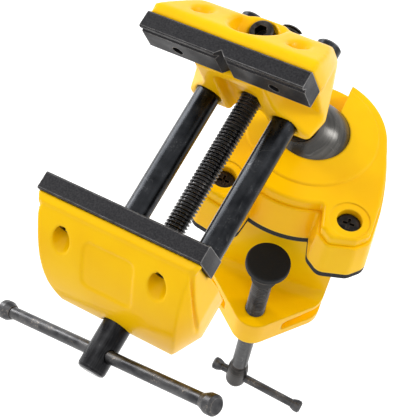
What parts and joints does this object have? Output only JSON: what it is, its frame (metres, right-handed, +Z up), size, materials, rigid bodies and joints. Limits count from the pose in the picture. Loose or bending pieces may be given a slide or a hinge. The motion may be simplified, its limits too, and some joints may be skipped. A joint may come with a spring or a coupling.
{
  "type": "multi-angle bench vise",
  "caption": "Clamp-on vise: a yellow cast head with black steel jaw plates, guide rods and lead screw turns on a ball joint held in a C-clamp base.",
  "frame": {"origin": "on the clamp screw's axis, at the underside of the upper grip pad, where the bench top presses", "axes": "+Z up along the clamp screw, towards the cap; +Y from the throat's mouth to the spine; +X along the bench edge"},
  "size_m": [0.1417, 0.2136, 0.2895],
  "materials": {
    "yellow_enamel": "glossy sprayed enamel on a casting",
    "black_rubber": "matt moulded rubber",
    "black_oxide_steel": "black oxide with worn bright edges",
    "dark_steel": "dark satin fasteners",
    "burnished_steel": "turned and burnished, oiled",
    "polished_steel": "polished ball with fine turning marks",
    "plain_steel": "plain machined steel"
  },
  "bodies": {
    "base": {"clamp_frame": "yellow_enamel", "ball_cap": "yellow_enamel", "cap_screws": "dark_steel", "grip_pad": "black_rubber"},
    "seat": {"ball_seat": "plain_steel"},
    "ball": {"ball_post": "polished_steel"},
    "head": {"fixed_jaw": "yellow_enamel", "fixed_jaw_plate": "black_oxide_steel", "fixed_plate_screws": "dark_steel", "screw_nut": "plain_steel", "nut_bolt": "dark_steel"},
    "slide_jaw": {"front_jaw": "yellow_enamel", "front_jaw_plate": "black_oxide_steel", "front_plate_screws": "dark_steel", "guide_rods": "burnished_steel", "rod_pins": "plain_steel"},
    "screw": {"lead_screw": "black_oxide_steel", "screw_retainer": "plain_steel"},
    "main_handle": {"main_bar": "burnished_steel", "main_bar_knobs": "burnished_steel"},
    "pad": {"swivel_pad": "black_rubber"},
    "clamp_spindle": {"clamp_screw": "burnished_steel"},
    "clamp_handle": {"clamp_bar": "burnished_steel", "clamp_bar_knobs": "burnished_steel"}
  },
  "joints": [
    {"name": "head_swivel", "type": "hinge", "parent": "base", "child": "seat", "pos_m": [0, 0.0413, 0.019], "axis": [0, 0, 1], "continuous": true},
    {"name": "head_tilt", "type": "hinge", "parent": "seat", "child": "ball", "pos_m": [0, 0.0413, 0.019], "axis": [0.6691, -0.7431, 0], "range_deg": [-58, 11.5]},
    {"name": "head_spin", "type": "hinge", "parent": "ball", "child": "head", "pos_m": [0, 0.0413, 0.019], "axis": [-0.2928, -0.2636, 0.9191], "continuous": true},
    {"name": "jaw_travel", "type": "slide", "parent": "head", "child": "slide_jaw", "axis": [0.1659, 0.9327, 0.3203], "range_m": [-0.004, 0.0689]},
    {"name": "lead_screw_turn", "type": "hinge", "parent": "slide_jaw", "child": "screw", "pos_m": [-0.02631, -0.00158, 0.08101], "axis": [0.1659, 0.9327, 0.3203], "range_deg": [-910, 15640]},
    {"name": "main_bar_slide", "type": "slide", "parent": "screw", "child": "main_handle", "axis": [0.7869, -0.321, 0.5271], "range_m": [-0.0519, 0.0519]},
    {"name": "clamp_travel", "type": "slide", "parent": "base", "child": "pad", "axis": [0, 0, 1], "range_m": [-0.0309, 0.0253]},
    {"name": "clamp_screw_turn", "type": "hinge", "parent": "pad", "child": "clamp_spindle", "pos_m": [0, 0, -0.1], "axis": [0, 0, 1], "range_deg": [-7500, 6100]},
    {"name": "clamp_bar_slide", "type": "slide", "parent": "clamp_spindle", "child": "clamp_handle", "axis": [0.9874, -0.1582, 0], "range_m": [-0.0289, 0.0031]}
  ],
  "couplings": [
    {"joint": "lead_screw_turn", "follows": "jaw_travel", "rad_per_m": 3957.9},
    {"joint": "clamp_screw_turn", "follows": "clamp_travel", "rad_per_m": 4188.8}
  ]
}
